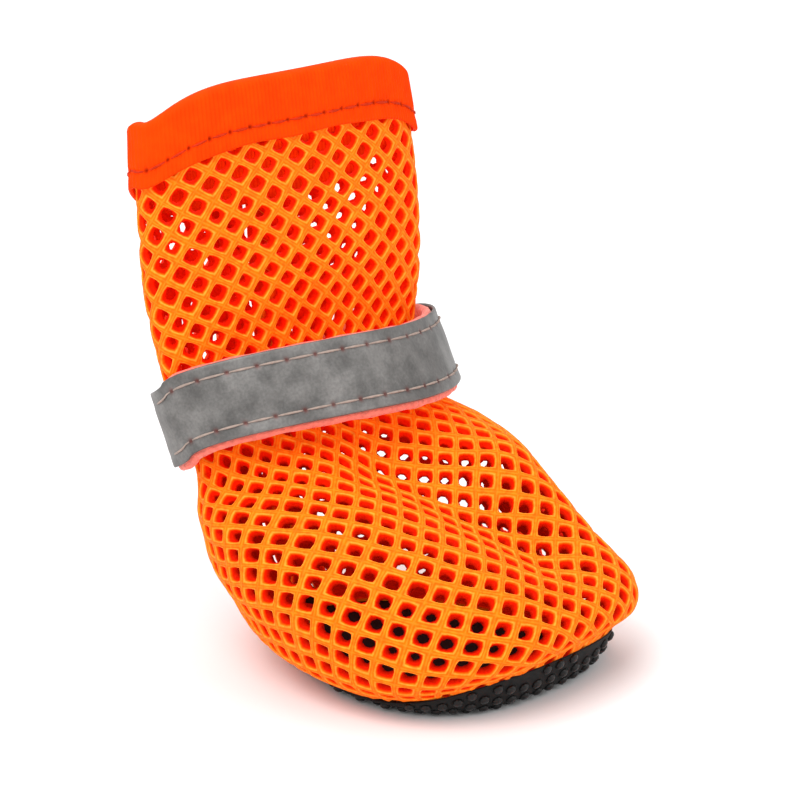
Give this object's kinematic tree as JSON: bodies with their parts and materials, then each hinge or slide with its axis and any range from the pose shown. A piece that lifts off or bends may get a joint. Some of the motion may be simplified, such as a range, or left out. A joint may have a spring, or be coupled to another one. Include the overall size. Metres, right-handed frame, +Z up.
{
  "type": "dog boot",
  "caption": "Soft slip-on dog boot: hollow open-mesh upper with bound collar, ankle strap with reflective tape, and a thin dotted sole.",
  "frame": {"origin": "middle of the boot's bounding box, on the floor that the sole stands on", "axes": "+Z up, -Y towards the toe, +X across the boot"},
  "size_m": [0.0514, 0.0644, 0.0789],
  "materials": {
    "mesh_fabric": "fluorescent orange open warp-knit mesh, matt with bright ridges",
    "binding_tape": "ribbed red-orange woven tape",
    "strap_webbing": "pink-orange hook-and-loop strap, matt pile",
    "reflective_tape": "grey glass-bead reflective tape with mottled sheen",
    "sole_rubber": "black woven sheet with glossy moulded dots"
  },
  "bodies": {
    "root": {"upper": "mesh_fabric", "outsole": "sole_rubber", "collar_binding": "binding_tape", "back_tape_left": "binding_tape", "back_tape_right": "binding_tape", "strap": "strap_webbing", "reflective_tape": "reflective_tape"}
  },
  "joints": []
}
